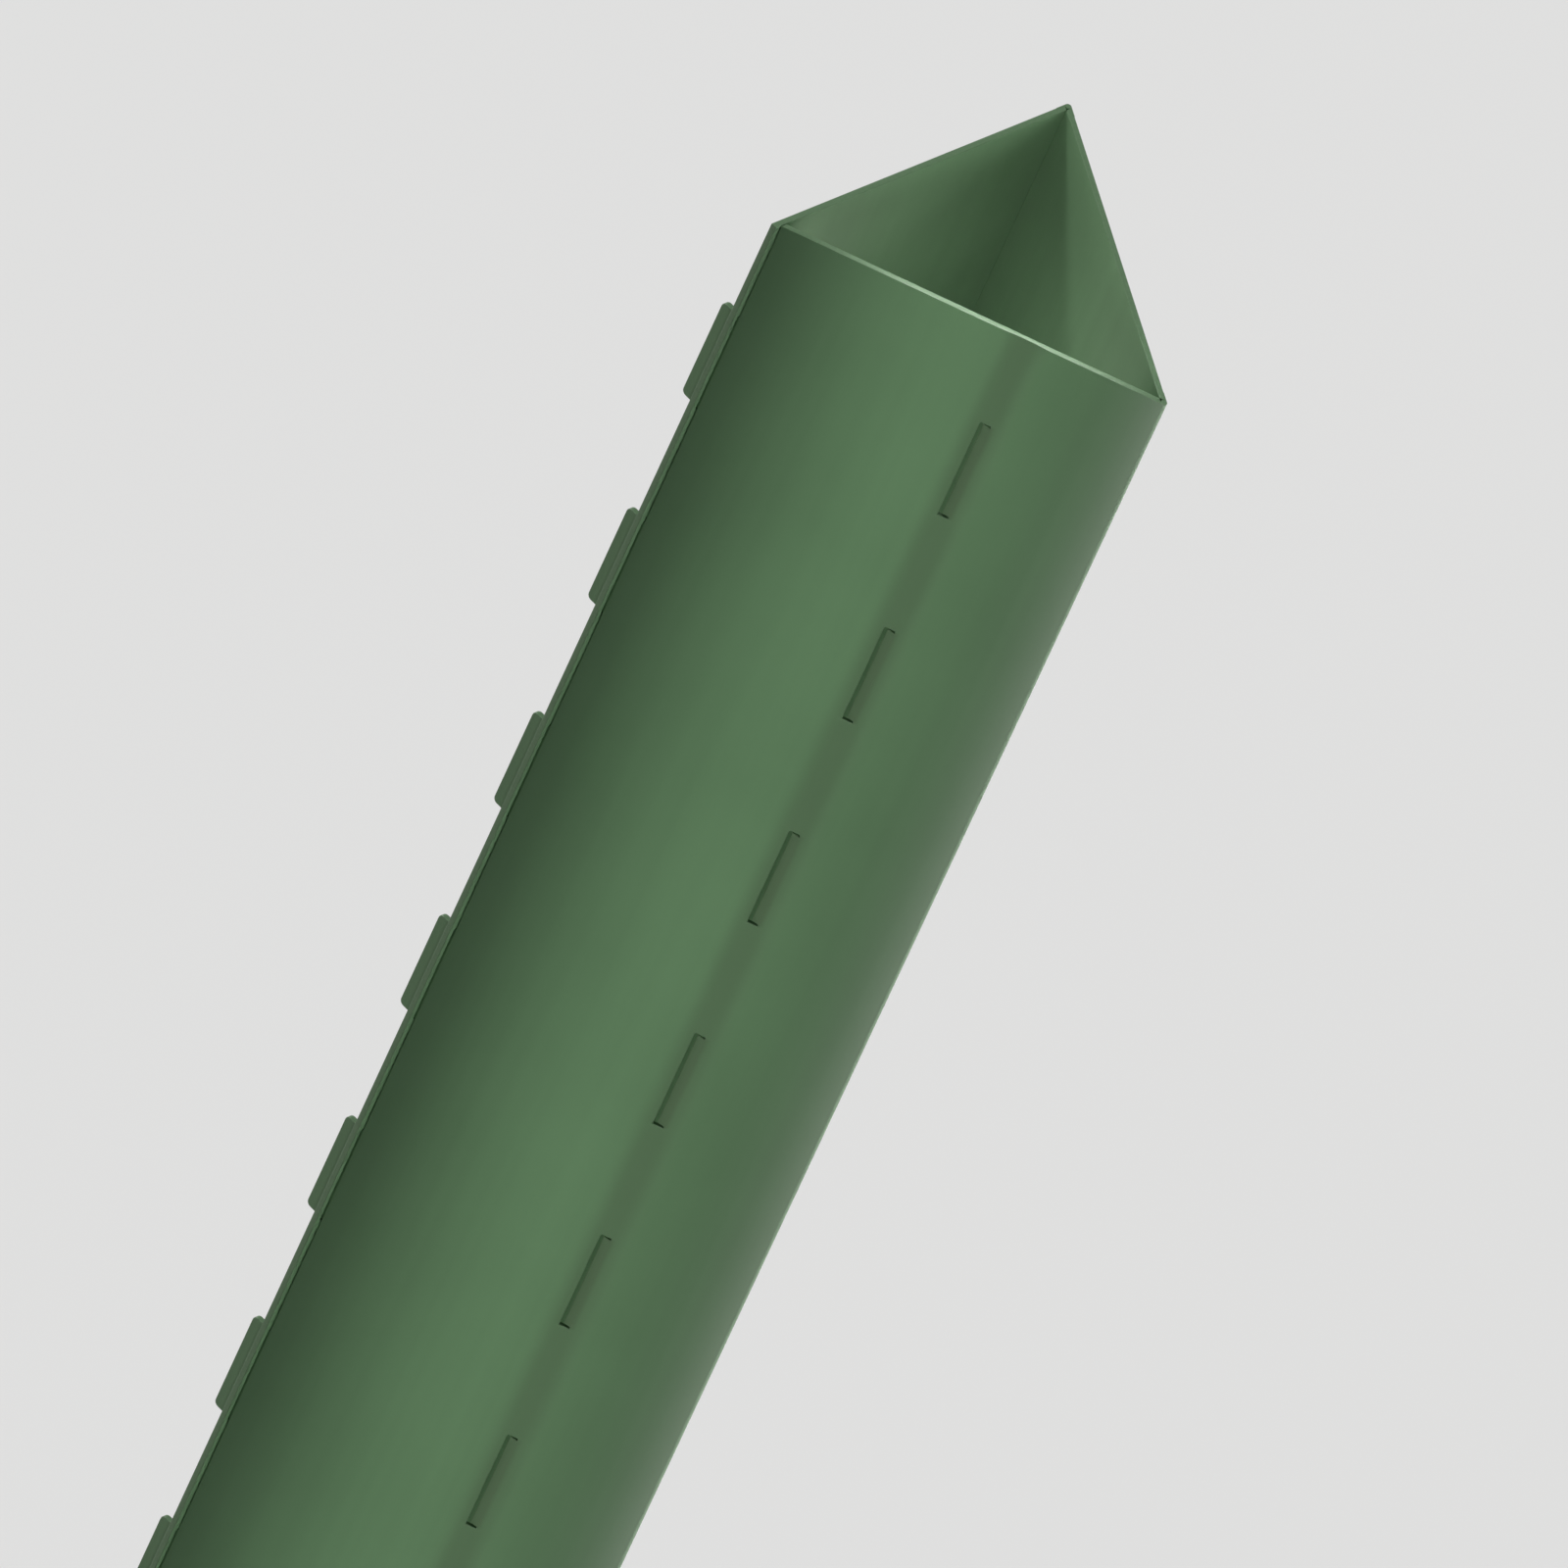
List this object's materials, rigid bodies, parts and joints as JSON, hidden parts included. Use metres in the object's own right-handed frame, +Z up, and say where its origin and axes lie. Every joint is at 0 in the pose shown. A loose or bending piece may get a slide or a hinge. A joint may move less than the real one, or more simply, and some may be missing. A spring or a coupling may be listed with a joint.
{
  "type": "folding plant support post",
  "caption": "Three-sided hollow post of folded green plastic sheet, closed by a seam of tabs in slots, with a row of lanced tie slots for climbing plants.",
  "frame": {"origin": "middle of the post's outline on its lower end", "axes": "+Z up along the post, -Y out of the front panel with the tie slots, -X towards the tab seam"},
  "size_m": [0.0768, 0.0654, 0.614],
  "materials": {
    "green_sheet": "satin, extruded sheet with die-cut edges"
  },
  "bodies": {
    "right": {"right_panel": "green_sheet", "front_fold": "green_sheet", "back_fold": "green_sheet"},
    "front": {"front_panel": "green_sheet"},
    "left": {"left_panel": "green_sheet"},
    "tabs": {"tab_01": "green_sheet", "tab_02": "green_sheet", "tab_03": "green_sheet", "tab_04": "green_sheet", "tab_05": "green_sheet", "tab_06": "green_sheet", "tab_07": "green_sheet", "tab_08": "green_sheet", "tab_09": "green_sheet", "tab_10": "green_sheet", "tab_11": "green_sheet", "tab_12": "green_sheet"}
  },
  "joints": [
    {"name": "front_fold_hinge", "type": "hinge", "parent": "right", "child": "front", "pos_m": [0.03765, -0.03117, 0.307], "axis": [0, 0, 1], "range_deg": [0, 120]},
    {"name": "back_fold_hinge", "type": "hinge", "parent": "right", "child": "left", "pos_m": [0.00119, 0.03198, 0.307], "axis": [0, 0, -1], "range_deg": [0, 120]},
    {"name": "tab_bend", "type": "hinge", "parent": "front", "child": "tabs", "pos_m": [-0.03458, -0.03177, 0.307], "axis": [0, 0, 1], "range_deg": [0, 30]}
  ],
  "couplings": [
    {"joint": "tab_bend", "follows": "back_fold_hinge", "ratio": 0.25}
  ]
}
